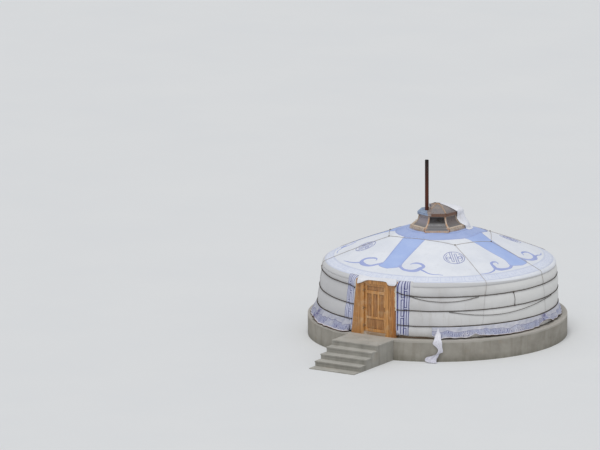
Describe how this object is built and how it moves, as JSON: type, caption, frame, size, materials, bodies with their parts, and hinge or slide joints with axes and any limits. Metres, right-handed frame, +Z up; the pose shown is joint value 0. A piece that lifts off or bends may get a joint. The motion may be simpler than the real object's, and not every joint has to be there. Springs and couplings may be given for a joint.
{
  "type": "felt yurt on a concrete plinth",
  "caption": "Round felt yurt with a printed canvas cover, glazed crown, stove pipe and outward opening wooden door, on a concrete plinth with steps",
  "frame": {"origin": "centre of the plinth's flat underside, on the ground", "axes": "+Z up; -Y is the way the door faces, along the steps; +X to the right seen from the door side"},
  "size_m": [7.56, 9.6398, 5.12],
  "materials": {
    "concrete": "matte",
    "door_wood": "satin",
    "door_panel_wood": "satin",
    "ironwork": "matte",
    "frame_wood": "satin",
    "crown_wood": "matte",
    "crown_glazing": "dusty",
    "stove_pipe": "rusty",
    "wall_canvas": "matte",
    "roof_canvas": "matte",
    "loose_canvas": "matte",
    "printed_skirt": "matte",
    "rope": "matte"
  },
  "bodies": {
    "yurt": {"plinth_drum": "concrete", "landing_block": "concrete", "stair_step_upper": "concrete", "stair_step_middle": "concrete", "stair_step_lower": "concrete", "stair_foot_pad": "concrete", "door_jambs": "door_wood", "door_head": "door_wood", "door_side_boards": "door_wood", "door_threshold": "door_panel_wood", "door_frame_hinges": "ironwork", "lattice_wall_1": "frame_wood", "lattice_wall_2": "frame_wood", "lattice_wall_3": "frame_wood", "lattice_wall_4": "frame_wood", "roof_poles_right": "frame_wood", "roof_poles_left": "frame_wood", "crown_ring": "frame_wood", "crown_posts": "frame_wood", "crown_curb": "crown_wood", "crown_struts": "crown_wood", "crown_cap_frame": "crown_wood", "crown_panes": "crown_glazing", "crown_cap_panes": "crown_glazing", "chimney_patch": "crown_glazing", "chimney_pipe": "stove_pipe", "wall_cover_1": "wall_canvas", "wall_cover_2": "wall_canvas", "wall_cover_3": "wall_canvas", "wall_cover_4": "wall_canvas", "roof_cover_1": "roof_canvas", "roof_cover_2": "roof_canvas", "roof_cover_3": "roof_canvas", "roof_cover_4": "roof_canvas", "door_flap": "loose_canvas", "crown_flap": "loose_canvas", "torn_strip": "loose_canvas", "skirt_right": "printed_skirt", "skirt_left": "printed_skirt", "girth_ropes": "rope", "slack_rope_upper": "rope", "slack_rope_middle": "rope", "rope_tie": "rope", "roof_ropes": "rope", "roof_ring_rope": "rope"},
    "door": {"door_leaf_frame": "door_wood", "door_leaf_panels": "door_panel_wood", "door_leaf_hinges": "ironwork", "door_handle": "ironwork"}
  },
  "joints": [
    {"name": "door_swing", "type": "hinge", "parent": "yurt", "child": "door", "pos_m": [-0.36, -3.521, 0.6], "axis": [0, 0, -1], "range_deg": [0, 105]}
  ]
}
